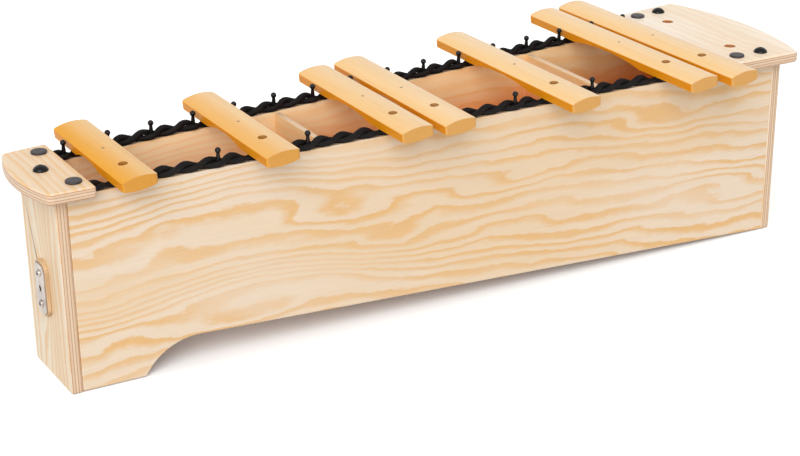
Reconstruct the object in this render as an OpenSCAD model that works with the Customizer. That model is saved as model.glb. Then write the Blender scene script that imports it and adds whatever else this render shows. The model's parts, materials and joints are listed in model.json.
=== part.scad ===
// Chromatic bar instrument: seven loose tone bars on two twisted cords over a tapered resonator box.
// Millimetres, +Z up, the player's side at -Y, the narrow (high) end at -X.

/* [Box] */
// Width of the box at its narrow end
narrow_w = 94; // [86:1:110]
// Width of the box at its wide end
wide_w = 190.5; // [170:0.5:230]
// Height of the panel tops above the floor
box_h = 203; // [160:1:260]
// Thickness of the end panels
end_t = 12; // [9:0.5:18]
// How far the end panels' edges stand out past the side panels
end_proud = 0.4; // [0:0.1:2]
// Rounding of the end panels' upright outer edges
end_round = 3; // [1:0.5:5]
// Thickness of the side panels
side_t = 8; // [7:0.5:12]
// Gap between the floor and the side panels' feet
foot_gap = 1.4; // [0.5:0.1:5]
// Height at which the sloping lower edge would meet the narrow end panel
under_rise = 39.2; // [25:0.2:60]
// Distance from the box's narrow face to the crown of the foot's arch
arch_x = 134.5; // [115:0.5:200]
// Radius of the foot's arch
arch_r = 64; // [50:1:80]
// Thickness of the bottom board
floor_t = 5; // [3:0.5:9]
// How far the bottom board lies above the side panels' lower edges
floor_inset = 3; // [1:0.5:8]
// Thickness of the dividers
divider_t = 6; // [4:0.5:10]
// How far the dividers stand to the wide side of the peg next to them
divider_shift = 1.6; // [0:0.1:8]
// How far the dividers' tops lie below the panel tops
divider_drop = 1.5; // [0.5:0.5:10]

/* [End caps] */
// Thickness of the end caps
cap_t = 12; // [11.5:0.5:18]
// How far the caps overhang the side panels
cap_overhang = 16; // [8:0.5:24]
// Gap between a cap's inner edge and the nearest back peg
cap_peg_gap = 11.2; // [5:0.1:14]
// Distance from the narrow face out to the narrow cap's corners
narrow_cap_out = 10; // [4:0.5:20]
// Height of the bow in the narrow cap's outer edge
narrow_cap_bow = 12; // [5:0.5:20]
// Distance from the wide face out to the wide cap's corners
wide_cap_out = 9; // [4:0.5:20]
// Height of the bow in the wide cap's outer edge
wide_cap_bow = 20; // [8:0.5:32]
// Diameter of the two holes in the wide cap
cap_hole_d = 12.5; // [6:0.5:16]
// Distance between the two holes in the wide cap
cap_hole_span = 109.5; // [80:0.5:125]
// Distance from the wide face in to the two holes
cap_hole_in = 41; // [30:0.5:50]
// Diameter of the flat cord plugs
plug_d = 16; // [10:0.5:20]
// Height of the cord plugs above the caps
plug_h = 2.4; // [0.8:0.1:4]
// Diameter of the domed cap screws
dome_d = 15; // [10:0.5:18]
// Height of the domed cap screws
dome_h = 5; // [3:0.5:7]
// Diameter of the dimple in the domed screws
dimple_d = 3; // [2:0.5:5]
// Depth of the dimple in the domed screws
dimple_h = 0.8; // [0.3:0.1:1.4]
// Distance from the wide face in to the wide cap's screws
wide_dome_in = 27.2; // [20:0.1:34]

/* [Pegs and cords] */
// Distance between neighbouring pegs of the back row
peg_pitch = 47; // [44:0.5:52]
// Distance from the narrow end panel's inner face to the cord plugs next to it
narrow_plug_in = 9; // [8:0.1:11]
// Distance from the narrow end panel's inner face to half a pitch before the first back peg
row_in = 10.9; // [10.9:0.1:20]
// Distance from the wide end panel's inner face to the cord plugs next to it
wide_plug_in = 47.1; // [44:0.1:60]
// Diameter of the stems of the plugs and cap screws, and of the pegs in their holes and at their necks
pin_d = 3.5; // [3:0.1:4]
// Diameter of the pegs where they leave the panel tops
peg_base_d = 4.8; // [4.2:0.1:5.2]
// Depth of the pin holes in the panel tops
pin_depth = 18; // [10:1:30]
// Clearance round a pin in its hole
pin_fit = 0.1; // [0.05:0.05:0.3]
// Diameter of the ball heads of the pegs
peg_head_d = 6; // [5:0.1:6.5]
// Height of the middle of the ball heads above the panel tops
peg_h = 16.6; // [15:0.1:18]
// Diameter of one strand of the cord
strand_d = 4.3; // [3.5:0.1:4.6]
// Gap between the two strands where one lies over the other
strand_gap = 1.2; // [1.2:0.1:1.6]
// Share of its height that the cord keeps under a bar that presses on it
press_share = 0.68; // [0.68:0.01:1]
// Gap between a strand and the pin that it passes
pin_gap = 0.35; // [0.3:0.05:0.8]
// Room round the cord in the grooves under the caps
groove_gap = 0.3; // [0.2:0.1:0.6]

/* [Coupling plate] */
// Width of the wooden pad
pad_w = 26; // [25:1:40]
// Height of the wooden pad
pad_h = 58; // [54:1:80]
// Thickness of the wooden pad
pad_t = 4; // [2:0.5:8]
// Rounding of the pad's corners
pad_round = 9; // [4:0.5:12]
// Margin of the pad round the plate at its sides
plate_inset = 1; // [0.5:0.5:4]
// Margin of the pad round the plate at its ends
plate_end_inset = 3; // [1:0.5:6]
// Thickness of the plate
plate_t = 1.6; // [1:0.1:3]
// Size of the plate's clipped corners
plate_clip = 5; // [2:0.5:7]
// Height of the plate's middle above the floor
plate_z = 96; // [60:1:120]
// Distance between the plate's two screws
plate_screw_span = 32; // [26:1:36]
// Diameter of the plate screws' shanks
plate_screw_d = 3.5; // [3:0.1:4.5]
// Diameter of the plate screws' heads
plate_head_d = 8; // [6:0.5:10]
// Height of the plate screws' heads
plate_head_h = 2.4; // [1.5:0.1:3]
// How deep the plate screws reach into the end panel
plate_screw_in = 8; // [5:0.5:8.5]
// Diameter of the plate's middle hole
plate_bore_d = 6; // [4:0.5:8]
// Extra width of the hole behind the plate
plate_relief = 3; // [1:0.5:5]

/* [Bars] */
// Gap between a bar and the peg heads at its sides
bar_peg_gap = 2.5; // [1.5:0.25:5]
// Height of the bars' flat sides
bar_side = 8.5; // [6:0.1:10]
// Height of the crown on the bars' upper face
bar_crown = 3; // [1.5:0.1:4]
// Height of the belly on the bars' lower face
bar_belly = 2.4; // [1.6:0.1:3]
// Length of the shortest bar
bar_short_l = 172; // [155:1:190]
// Length of the longest bar
bar_long_l = 310; // [285:1:340]
// Rounding of the bars' upright corner edges
bar_corner = 3; // [1:0.5:6]
// Diameter of the peg hole near the front of each bar
bar_hole_d = 9; // [8:0.5:12]
// Depth of the tuning arch in the bars' lower face
bar_arch_h = 8; // [4:0.1:9]
// Distance from the peg lines in to the ends of the tuning arch
bar_arch_in = 13; // [10:0.5:22]
// Gap between the cords' crests and the bars' lowest line
bar_rest_gap = 0.4; // [0.3:0.1:1]
// Angle by which the bars lean on the lay of the cord
bar_lean = 5; // [0:0.5:5]

/* [Hidden] */

$fn = 64;

// The bars from the narrow end: the gap between back pegs that each lies in, its pitch in semitones
// over the lowest bar, how far its middle lies from the box's middle line in shares of the peg pitch,
// and the angle by which it lies askew
bar_gaps = [1, 4, 7, 8, 11, 14, 15];
bar_semitones = [24, 19, 14, 12, 7, 2, 0];
bar_offsets = [0.01, -0.065, -0.075, -0.04, -0.04, 0, 0];
bar_turns = [0, -0.6, -0.6, -0.6, 0, 0, 0.4];
// Front pegs that stand free, by the gap between back pegs
free_gaps = [3, 5, 10, 12];
// Back pegs that the dividers stand next to
divider_pegs = [6, 13];

gap_count = max(bar_gaps);
peg_count = gap_count + 1;
front_gaps = concat(bar_gaps, free_gaps);

// Plan of the box, with x from its narrow face
plug_narrow_x = end_t + narrow_plug_in;
row_x = end_t + row_in;
plug_wide_x = row_x + peg_count * peg_pitch;
wide_inner_x = plug_wide_x + wide_plug_in;
box_l = wide_inner_x + end_t;
taper = (wide_w - narrow_w) / 2 / box_l;
function half_w(x) = narrow_w / 2 + taper * x;
function line_y(x) = half_w(x) - side_t / 2;
function peg_x(k) = row_x + (k - 0.5) * peg_pitch;
function gap_x(k) = row_x + k * peg_pitch;
side_angle = atan(taper);

// Lower edge of the side panels
under_slope = (under_rise - foot_gap) / (wide_inner_x - end_t);
under_angle = atan(under_slope);
function under_z(x) = foot_gap + under_slope * (wide_inner_x - x);
function floor_z(x) = under_z(x) + floor_inset / cos(under_angle);
function floor_top(x) = floor_z(x) + floor_t / cos(under_angle);

// Caps
cap_z = box_h + cap_t;
narrow_cap_x = peg_x(1) - cap_peg_gap;
wide_cap_x = peg_x(peg_count) + cap_peg_gap;
narrow_reach = narrow_cap_out + narrow_cap_bow;
wide_reach = wide_cap_out + wide_cap_bow;
shift_x = (narrow_reach - wide_reach - box_l) / 2;
wide_dome_x = box_l - wide_dome_in;
// Length of a groove for the cord, which runs out past a cap's inner edge
groove_l = peg_pitch / 2;

// Cord: two strands that turn round each other once per peg pitch
strand_r = strand_d / 2;
strand_stack = (strand_d + strand_gap) / 2;
pin_spread = strand_r + peg_base_d / 2 + pin_gap;
// Share of the stack by which the pair is raised where its strands lie side by side
pair_rest = 0.6;
// Share of the stack by which the pair climbs to where one strand lies over the other
pair_climb = 0.45;
cord_h = 2 * strand_r + (1 + pair_rest + pair_climb) * strand_stack;
groove_r = pin_spread + strand_r + groove_gap;
groove_h = cord_h + groove_gap;
// Turns next to a plug over which the twist dies out
twist_fade = 0.25;
// Turns to either side of a pin over which the spread strands close up, and how sharply they do
spread_reach = 0.5;
spread_power = 4;
// Turns to either side of a bar's edge over which the cord rises to its full height
press_fade = 0.2;
// Rings of the swept tube along a turn and round a plug, and corners of a ring
rings_per_turn = 8;
rings_per_end = 6;
ring_sides = 6;

// Bars
bar_w = peg_pitch - peg_head_d - 2 * bar_peg_gap;
bar_low_r = arc_r(bar_w / 2, bar_belly);
// How much lower a bar's belly reaches because the bar leans
lean_drop = (bar_low_r - bar_belly - bar_side / 2) * (1 - cos(bar_lean));
bar_z = box_h + press_share * cord_h + bar_rest_gap + lean_drop + bar_belly + bar_side / 2;
function bar_l(i) =
    bar_long_l * pow(bar_short_l / bar_long_l, bar_semitones[i] / max(bar_semitones));

// Coupling plate
plate_w = pad_w - 2 * plate_inset;
plate_h = pad_h - 2 * plate_end_inset;

// Length by which a cutter runs past what it cuts
past = 1;

function arc_r(half_chord, rise) = (half_chord * half_chord + rise * rise) / (2 * rise);
function unit(v) = v / norm(v);

// Moves a piece from the narrow face to the middle of the whole instrument
module placed() {
    translate([shift_x, 0, 0])
        children();
}

module round_rect(w, h, r) {
    square([w - 2 * r, h], center = true);
    square([w, h - 2 * r], center = true);
    for (sx = [-1, 1])
        for (sy = [-1, 1])
            translate([sx * (w / 2 - r), sy * (h / 2 - r)])
                circle(r);
}

// Outline between two stations x_a and x_b, at half widths that follow the taper plus an extra
module tapered_plan(x_a, x_b, extra) {
    polygon([
        [x_a, -half_w(x_a) - extra], [x_b, -half_w(x_b) - extra],
        [x_b, half_w(x_b) + extra], [x_a, half_w(x_a) + extra]
    ]);
}

// Hole for a pin, from the panel tops down
module pin_hole() {
    translate([0, 0, box_h - pin_depth])
        cylinder(d = pin_d + 2 * pin_fit, h = pin_depth + past);
}

// One end panel with its outer face at x and its inner face on the side given by dir
module end_panel(x, dir) {
    inner = half_w(x + dir * end_t) + end_proud;
    linear_extrude(box_h)
        translate([x, 0])
            union() {
                translate([dir * end_round / 2, 0])
                    square([end_round, 2 * (inner - end_round)], center = true);
                translate([dir * (end_t + end_round) / 2, 0])
                    square([end_t - end_round, 2 * inner], center = true);
                for (s = [-1, 1])
                    translate([dir * end_round, s * (inner - end_round)])
                        circle(end_round);
            }
}

module end_panel_narrow() {
    color("wheat")
        placed()
            difference() {
                end_panel(0, 1);
                translate([end_t / 2, 0, 0])
                    pin_hole();
                for (s = [-1, 1])
                    translate([-past, 0, plate_z + s * plate_screw_span / 2])
                        rotate([0, 90, 0])
                            cylinder(d = plate_screw_d + 2 * pin_fit, h = plate_screw_in + past);
                translate([-past, 0, plate_z])
                    rotate([0, 90, 0])
                        cylinder(d = plate_bore_d + plate_relief, h = plate_screw_in + past);
            }
}

module end_panel_wide() {
    color("wheat")
        placed()
            end_panel(box_l, -1);
}

// Side panel in elevation: foot, arch and sloping lower edge
module side_outline() {
    crown_z = under_z(arch_x);
    difference() {
        translate([end_t, foot_gap])
            square([wide_inner_x - end_t, box_h - foot_gap]);
        translate([arch_x - arch_r * sin(under_angle), crown_z - arch_r * cos(under_angle)])
            circle(arch_r);
        polygon([
            [arch_x, crown_z], [wide_inner_x, foot_gap], [wide_inner_x + past, -past], [arch_x, -past]
        ]);
    }
}

// Side panel on the side given by dir, drilled over the pegs of the given stations
module side_panel(dir, stations) {
    difference() {
        intersection() {
            rotate([90, 0, 0])
                linear_extrude(2 * wide_w, center = true)
                    side_outline();
            linear_extrude(box_h)
                polygon([
                    [end_t, dir * half_w(end_t)], [wide_inner_x, dir * half_w(wide_inner_x)],
                    [wide_inner_x, dir * (half_w(wide_inner_x) - side_t)],
                    [end_t, dir * (half_w(end_t) - side_t)]
                ]);
        }
        for (x = concat(stations, [plug_narrow_x, plug_wide_x, wide_dome_x]))
            translate([x, dir * line_y(x), 0])
                pin_hole();
    }
}

front_stations = [for (k = front_gaps) gap_x(k)];
back_stations = [for (k = [1:peg_count]) peg_x(k)];

module side_panel_front() {
    color("moccasin")
        placed()
            side_panel(-1, front_stations);
}

module side_panel_back() {
    color("moccasin")
        placed()
            side_panel(1, back_stations);
}

// Piece between the side panels with the given elevation
module between_sides(x_a, x_b) {
    intersection() {
        rotate([90, 0, 0])
            linear_extrude(2 * wide_w, center = true)
                children();
        linear_extrude(box_h)
            tapered_plan(x_a, x_b, -side_t);
    }
}

module bottom_board() {
    color("tan")
        placed()
            between_sides(end_t, wide_inner_x)
                polygon([
                    [end_t, floor_z(end_t)], [wide_inner_x, floor_z(wide_inner_x)],
                    [wide_inner_x, floor_top(wide_inner_x)], [end_t, floor_top(end_t)]
                ]);
}

module divider(k) {
    x_a = peg_x(k) + divider_shift - divider_t / 2;
    x_b = x_a + divider_t;
    between_sides(x_a, x_b)
        polygon([
            [x_a, floor_top(x_a)], [x_b, floor_top(x_b)],
            [x_b, box_h - divider_drop], [x_a, box_h - divider_drop]
        ]);
}

module divider_narrow() {
    color("burlywood")
        placed()
            divider(divider_pegs[0]);
}

module divider_wide() {
    color("burlywood")
        placed()
            divider(divider_pegs[1]);
}

// Cap board from its inner edge x_in to corners at x_out, with a bowed outer edge
module cap_board(x_in, x_out, bow, plug_x) {
    dir = sign(x_out - x_in);
    bow_r = arc_r(half_w(x_out) + cap_overhang, bow);
    tip = x_out + dir * bow;
    difference() {
        translate([0, 0, box_h])
            linear_extrude(cap_t)
                intersection() {
                    tapered_plan(x_in, tip + dir * past, cap_overhang);
                    translate([tip - dir * bow_r, 0])
                        circle(bow_r, $fn = 2 * $fn);
                }
        for (s = [-1, 1])
            translate([plug_x, s * line_y(plug_x), 0]) {
                translate([0, 0, box_h - past])
                    cylinder(r = groove_r + groove_gap, h = groove_h + past);
                rotate([0, 0, s * side_angle])
                    translate([min(0, -dir * groove_l), -groove_r, box_h - past])
                        cube([groove_l, 2 * groove_r, groove_h + past]);
                translate([0, 0, box_h])
                    cylinder(d = pin_d + 2 * pin_fit, h = cap_t + past);
            }
    }
}

// Hole through a cap
module cap_hole(d) {
    translate([0, 0, box_h - past])
        cylinder(d = d, h = cap_t + 2 * past);
}

module end_cap_narrow() {
    color("navajowhite")
        placed()
            difference() {
                cap_board(narrow_cap_x, -narrow_cap_out, narrow_cap_bow, plug_narrow_x);
                translate([end_t / 2, 0, 0])
                    cap_hole(pin_d + 2 * pin_fit);
            }
}

module end_cap_wide() {
    color("navajowhite")
        placed()
            difference() {
                cap_board(wide_cap_x, box_l + wide_cap_out, wide_cap_bow, plug_wide_x);
                for (s = [-1, 1]) {
                    translate([box_l - cap_hole_in, s * cap_hole_span / 2, 0])
                        cap_hole(cap_hole_d);
                    translate([wide_dome_x, s * line_y(wide_dome_x), 0])
                        cap_hole(pin_d + 2 * pin_fit);
                }
            }
}

// Share of its height that the cord keeps at u turns along the row
function cord_share(u) =
    let (edge = bar_w / 2 / peg_pitch)
    let (off = min([for (g = bar_gaps) abs(u - g)]))
    1 - (1 - press_share) * min(1, max(0, (edge + press_fade - off) / press_fade));

// How far the strands are spread for a pin at u turns along the row
function pin_share(u, pins) =
    max([for (p = pins)
        abs(u - p) < spread_reach ? pow(cos(90 * (u - p) / spread_reach), spread_power) : 0]);

// The twist dies out towards the plugs, where the strands lie level round the pin
function twist_share(u) = sin(90 * min(1, min(u, peg_count - u) / twist_fade));

// Middle of a strand at u turns along the row, on the side given by dir
function strand_point(u, strand, dir, pins) =
    let (x = gap_x(u))
    let (swing = strand_stack + (pin_spread - strand_stack) * pin_share(u, pins))
    let (lift = twist_share(u) * sin(360 * u))
    [
        x,
        dir * line_y(x) + strand * swing * cos(360 * u),
        box_h + cord_share(u)
            * (strand_r + strand_stack * (pair_rest + pair_climb * lift * lift - strand * lift))
    ];

// Points of the half turn round a plug's pin
function end_points(x, dir, from) =
    [for (i = [1:rings_per_end - 1])
        let (a = from - 180 * i / rings_per_end)
        [
            x + pin_spread * cos(a),
            dir * line_y(x) + pin_spread * sin(a),
            box_h + strand_r + strand_stack * pair_rest
        ]];

// The cord's closed loop: out along one strand, round the plug, back along the other
function cord_points(dir, pins) =
    let (n = peg_count * rings_per_turn)
    concat(
        [for (i = [0:n]) strand_point(i / rings_per_turn, 1, dir, pins)],
        end_points(plug_wide_x, dir, 90),
        [for (i = [n:-1:0]) strand_point(i / rings_per_turn, -1, dir, pins)],
        end_points(plug_narrow_x, dir, -90)
    );

// Corners of the ring round point i of a closed path
function ring(path, i) =
    let (n = len(path))
    let (ahead = unit(path[(i + 1) % n] - path[(i + n - 1) % n]))
    let (across = unit(cross(ahead, [0, 0, 1])))
    let (up = cord_share((path[i][0] - row_x) / peg_pitch) * cross(across, ahead))
    [for (j = [0:ring_sides - 1])
        let (a = 360 * j / ring_sides)
        path[i] + strand_r * (cos(a) * across + sin(a) * up)];

module closed_tube(path) {
    n = len(path);
    points = [for (i = [0:n - 1]) each ring(path, i)];
    faces = [
        for (i = [0:n - 1])
            for (j = [0:ring_sides - 1])
                let (i2 = (i + 1) % n)
                let (j2 = (j + 1) % ring_sides)
                let (a = i * ring_sides + j)
                let (b = i * ring_sides + j2)
                let (c = i2 * ring_sides + j2)
                let (d = i2 * ring_sides + j)
                each [[a, c, b], [a, d, c]]
    ];
    polyhedron(points, faces);
}

// Least gap between the two strands, measured at the rings and half way between them; pressed strands
// are measured as round ones by drawing them out to their full height
function least_gap(dir, pins) =
    let (n = 2 * peg_count * rings_per_turn)
    min([
        for (i = [0:n])
            for (j = [max(0, i - rings_per_turn):min(n, i + rings_per_turn)])
                drawn_gap(half_point(i, 1, dir, pins), half_point(j, -1, dir, pins))
    ]);
function drawn_gap(a, b) =
    let (share = cord_share((a[0] - row_x) / peg_pitch))
    share * (norm([a[0] - b[0], a[1] - b[1], (a[2] - b[2]) / share]) - strand_d);
function half_point(i, strand, dir, pins) =
    (strand_point(floor(i / 2) / rings_per_turn, strand, dir, pins)
        + strand_point(ceil(i / 2) / rings_per_turn, strand, dir, pins)) / 2;

front_pins = concat([0], front_gaps, [peg_count]);
back_pins = concat([0], [for (k = [1:peg_count]) k - 0.5], [peg_count]);

module cord(dir, pins) {
    echo(least_gap_of_the_cord = least_gap(dir, pins));
    closed_tube(cord_points(dir, pins));
}

module cord_front() {
    color("black")
        placed()
            cord(-1, front_pins);
}

module cord_back() {
    color("black")
        placed()
            cord(1, back_pins);
}

// Pin stem from the bottom of its hole up to height h above the panel tops
module pin_stem(h) {
    translate([0, 0, box_h - pin_depth])
        cylinder(d = pin_d, h = pin_depth + h);
}

module peg() {
    pin_stem(past);
    translate([0, 0, box_h])
        cylinder(d1 = peg_base_d, d2 = pin_d, h = peg_h);
    translate([0, 0, box_h + peg_h])
        sphere(d = peg_head_d);
}

module pegs_front() {
    color("dimgray")
        placed()
            for (x = front_stations)
                translate([x, -line_y(x), 0])
                    peg();
}

module pegs_back() {
    color("dimgray")
        placed()
            for (x = back_stations)
                translate([x, line_y(x), 0])
                    peg();
}

module cord_plugs(x) {
    for (s = [-1, 1])
        translate([x, s * line_y(x), 0]) {
            pin_stem(cap_t);
            translate([0, 0, cap_z])
                cylinder(d = plug_d, h = plug_h);
        }
}

module cord_plugs_narrow() {
    color("darkslategray")
        placed()
            cord_plugs(plug_narrow_x);
}

module cord_plugs_wide() {
    color("darkslategray")
        placed()
            cord_plugs(plug_wide_x);
}

// Domed head of diameter d and height h on the plane z = 0
module dome(d, h) {
    r = arc_r(d / 2, h);
    intersection() {
        translate([0, 0, h - r])
            sphere(r);
        cylinder(d = d, h = h);
    }
}

module cap_screw() {
    pin_stem(cap_t);
    translate([0, 0, cap_z])
        difference() {
            dome(dome_d, dome_h);
            translate([0, 0, dome_h - dimple_h])
                cylinder(d = dimple_d, h = dimple_h + past);
        }
}

module cap_screw_narrow() {
    color("black")
        placed()
            translate([end_t / 2, 0, 0])
                cap_screw();
}

module cap_screws_wide() {
    color("black")
        placed()
            for (s = [-1, 1])
                translate([wide_dome_x, s * line_y(wide_dome_x), 0])
                    cap_screw();
}

// Turns a flat outline so that it stands on the narrow face, its thickness pointing outwards
module on_narrow_face() {
    translate([0, 0, plate_z])
        rotate([0, -90, 0])
            children();
}

module coupling_pad() {
    color("sienna")
        placed()
            on_narrow_face()
                linear_extrude(pad_t)
                    difference() {
                        round_rect(pad_h, pad_w, pad_round);
                        circle(d = plate_bore_d + plate_relief);
                        for (s = [-1, 1])
                            translate([s * plate_screw_span / 2, 0])
                                circle(d = plate_screw_d + 2 * pin_fit);
                    }
}

module coupling_plate() {
    long = plate_h / 2;
    wide = plate_w / 2;
    color("silver")
        placed()
            on_narrow_face()
                translate([0, 0, pad_t])
                    linear_extrude(plate_t)
                        difference() {
                            polygon([
                                [long, wide - plate_clip], [long - plate_clip, wide],
                                [plate_clip - long, wide], [-long, wide - plate_clip],
                                [-long, plate_clip - wide], [plate_clip - long, -wide],
                                [long - plate_clip, -wide], [long, plate_clip - wide]
                            ]);
                            circle(d = plate_bore_d);
                            for (s = [-1, 1])
                                translate([s * plate_screw_span / 2, 0])
                                    circle(d = plate_screw_d + 2 * pin_fit);
                        }
}

module coupling_screws() {
    seat = pad_t + plate_t;
    color("gainsboro")
        placed()
            on_narrow_face()
                for (s = [-1, 1])
                    translate([s * plate_screw_span / 2, 0, 0]) {
                        translate([0, 0, -plate_screw_in])
                            cylinder(d = plate_screw_d, h = plate_screw_in + seat);
                        translate([0, 0, seat])
                            dome(plate_head_d, plate_head_h);
                    }
}

// Section of a bar with its crowned upper face and bellied lower face, before its sides are trimmed
module bar_section() {
    top_r = arc_r(bar_w / 2, bar_crown);
    intersection() {
        square([bar_w + 2 * past, bar_side + 2 * (bar_crown + bar_belly)], center = true);
        translate([0, bar_side / 2 + bar_crown - top_r])
            circle(top_r, $fn = 2 * $fn);
        translate([0, bar_low_r - bar_belly - bar_side / 2])
            circle(bar_low_r, $fn = 4 * $fn);
    }
}

// Bar i, leaning on the lay of the cord, its hole over a front peg
module bar(i) {
    x = gap_x(bar_gaps[i]);
    arch_half = line_y(x) - bar_arch_in;
    bar_arch_r = arc_r(arch_half, bar_arch_h);
    low = -bar_side / 2 - bar_belly;
    tall = bar_side + 2 * (bar_crown + bar_belly);
    color("goldenrod")
        placed()
            difference() {
                translate([x, peg_pitch * bar_offsets[i], bar_z])
                    rotate([0, -bar_lean, bar_turns[i]])
                        difference() {
                            intersection() {
                                rotate([90, 0, 0])
                                    linear_extrude(bar_l(i) + 2 * past, center = true)
                                        bar_section();
                                linear_extrude(tall, center = true)
                                    round_rect(bar_w, bar_l(i), bar_corner);
                            }
                            translate([0, 0, low + bar_arch_h - bar_arch_r])
                                rotate([0, 90, 0])
                                    cylinder(
                                        r = bar_arch_r, h = bar_w + 2 * past, center = true, $fn = 4 * $fn
                                    );
                        }
                translate([x, -line_y(x), bar_z])
                    rotate([0, -bar_lean, 0])
                        cylinder(d = bar_hole_d, h = tall + 2 * past, center = true);
            }
}

end_panel_narrow();
end_panel_wide();
side_panel_front();
side_panel_back();
bottom_board();
divider_narrow();
divider_wide();
end_cap_narrow();
end_cap_wide();
cord_front();
cord_back();
pegs_front();
pegs_back();
cord_plugs_narrow();
cord_plugs_wide();
cap_screw_narrow();
cap_screws_wide();
coupling_pad();
coupling_plate();
coupling_screws();
bar(0);  // bar_1
bar(1);  // bar_2
bar(2);  // bar_3
bar(3);  // bar_4
bar(4);  // bar_5
bar(5);  // bar_6
bar(6);  // bar_7
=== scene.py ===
import json
import math

import bpy
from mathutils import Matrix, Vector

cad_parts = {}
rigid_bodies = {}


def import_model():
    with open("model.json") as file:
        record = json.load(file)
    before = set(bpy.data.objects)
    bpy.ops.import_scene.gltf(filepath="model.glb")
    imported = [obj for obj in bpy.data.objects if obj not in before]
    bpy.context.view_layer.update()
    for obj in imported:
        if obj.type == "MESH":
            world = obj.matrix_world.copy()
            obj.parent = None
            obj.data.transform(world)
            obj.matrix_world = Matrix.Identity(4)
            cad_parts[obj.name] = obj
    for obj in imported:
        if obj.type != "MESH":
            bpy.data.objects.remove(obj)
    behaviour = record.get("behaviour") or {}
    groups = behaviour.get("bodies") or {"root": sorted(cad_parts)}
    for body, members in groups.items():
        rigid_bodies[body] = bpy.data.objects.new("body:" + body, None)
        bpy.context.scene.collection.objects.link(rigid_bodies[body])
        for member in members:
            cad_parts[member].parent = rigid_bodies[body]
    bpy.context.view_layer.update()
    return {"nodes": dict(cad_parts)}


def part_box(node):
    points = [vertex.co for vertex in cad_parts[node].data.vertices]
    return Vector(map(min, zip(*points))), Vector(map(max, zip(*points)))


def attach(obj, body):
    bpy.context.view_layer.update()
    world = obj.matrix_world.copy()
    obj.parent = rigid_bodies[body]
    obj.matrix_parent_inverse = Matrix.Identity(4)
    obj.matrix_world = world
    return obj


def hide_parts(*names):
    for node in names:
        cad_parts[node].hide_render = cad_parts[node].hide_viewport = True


bpy.ops.object.select_all(action="SELECT")  # the start-up scene's own cube, lamp and camera
bpy.ops.object.delete()
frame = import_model()
mm = 0.001
print("frame loaded, nodes:", len(frame["nodes"]))


# plan of the box, read from the frame
boxPlan = {
    "sideThick": 8 * mm,
    "endThick": 12 * mm,
    "capThick": 12 * mm,
    "dividerThick": 6 * mm,
}

sideLow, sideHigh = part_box("side_panel_back")
panelTop = sideHigh.z
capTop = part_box("end_cap_wide")[1].z
narrowHalf = sideLow.y + boxPlan["sideThick"]  # outer half width where the side panels start
sideTaper = (sideHigh.y - narrowHalf) / (sideHigh.x - sideLow.x)
sideTurn = math.atan(sideTaper)


def middle(node):
    low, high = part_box(node)
    return (low + high) / 2


def halfWidth(x):
    return narrowHalf + sideTaper * (x - sideLow.x)


def pinLine(x):
    return halfWidth(x) - boxPlan["sideThick"] / 2


def insideHalf(x):
    return halfWidth(x) - boxPlan["sideThick"]


pegRow = {
    "turns": 16,  # of the cord, one for each back peg
    "headWidth": 6 * mm,
    "barGaps": [1, 4, 7, 8, 11, 14, 15],  # gaps between back pegs that hold a bar
    "freeGaps": [3, 5, 10, 12],  # gaps whose front peg stands free
}
backLow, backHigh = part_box("pegs_back")
pegPitch = (backHigh.x - backLow.x - pegRow["headWidth"]) / (pegRow["turns"] - 1)
rowX = (backLow.x + backHigh.x - pegRow["turns"] * pegPitch) / 2
plugNarrowX = middle("cord_plugs_narrow").x
plugWideX = middle("cord_plugs_wide").x
frontTurns = pegRow["barGaps"] + pegRow["freeGaps"]
backTurns = [k + 0.5 for k in range(pegRow["turns"])]


def turnX(turn):
    return rowX + turn * pegPitch


def arcRadius(halfChord, rise):
    return (halfChord * halfChord + rise * rise) / (2 * rise)


# modelling helpers
def onlyThis(piece):
    bpy.ops.object.select_all(action="DESELECT")
    piece.select_set(True)
    bpy.context.view_layer.objects.active = piece


def applyPlace(piece):
    onlyThis(piece)
    bpy.ops.object.transform_apply(location=True, rotation=True, scale=True)


def addBlock(name, low, high):
    bpy.ops.object.select_all(action="DESELECT")
    centre = [(a + b) / 2 for a, b in zip(low, high)]
    bpy.ops.mesh.primitive_cube_add(size=1, location=centre)
    block = bpy.context.object
    block.name = block.data.name = name
    block.scale = [b - a for a, b in zip(low, high)]
    applyPlace(block)
    return block


def addRod(radius, length, place, turn=(0, 0, 0), sides=64):
    bpy.ops.object.select_all(action="DESELECT")
    bpy.ops.mesh.primitive_cylinder_add(
        vertices=sides, radius=radius, depth=length, location=place, rotation=turn
    )
    return bpy.context.object


def addCurve(name, outlines, flat=False):
    # closed lines through the given points
    line = bpy.data.curves.new(name, "CURVE")
    line.dimensions = "2D" if flat else "3D"
    for outline in outlines:
        path = line.splines.new("POLY")
        path.points.add(len(outline) - 1)
        for point, place in zip(path.points, outline):
            point.co = (*place, 1) if len(place) == 3 else (*place, 0, 1)
        path.use_cyclic_u = True
    drawn = bpy.data.objects.new(name, line)
    bpy.context.collection.objects.link(drawn)
    return drawn


def toMesh(drawn):
    onlyThis(drawn)
    bpy.ops.object.convert(target="MESH")
    piece = bpy.context.object
    bpy.ops.object.mode_set(mode="EDIT")
    bpy.ops.mesh.select_all(action="SELECT")
    bpy.ops.mesh.remove_doubles(threshold=0.01 * mm)
    bpy.ops.mesh.normals_make_consistent(inside=False)
    bpy.ops.object.mode_set(mode="OBJECT")
    return piece


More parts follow.
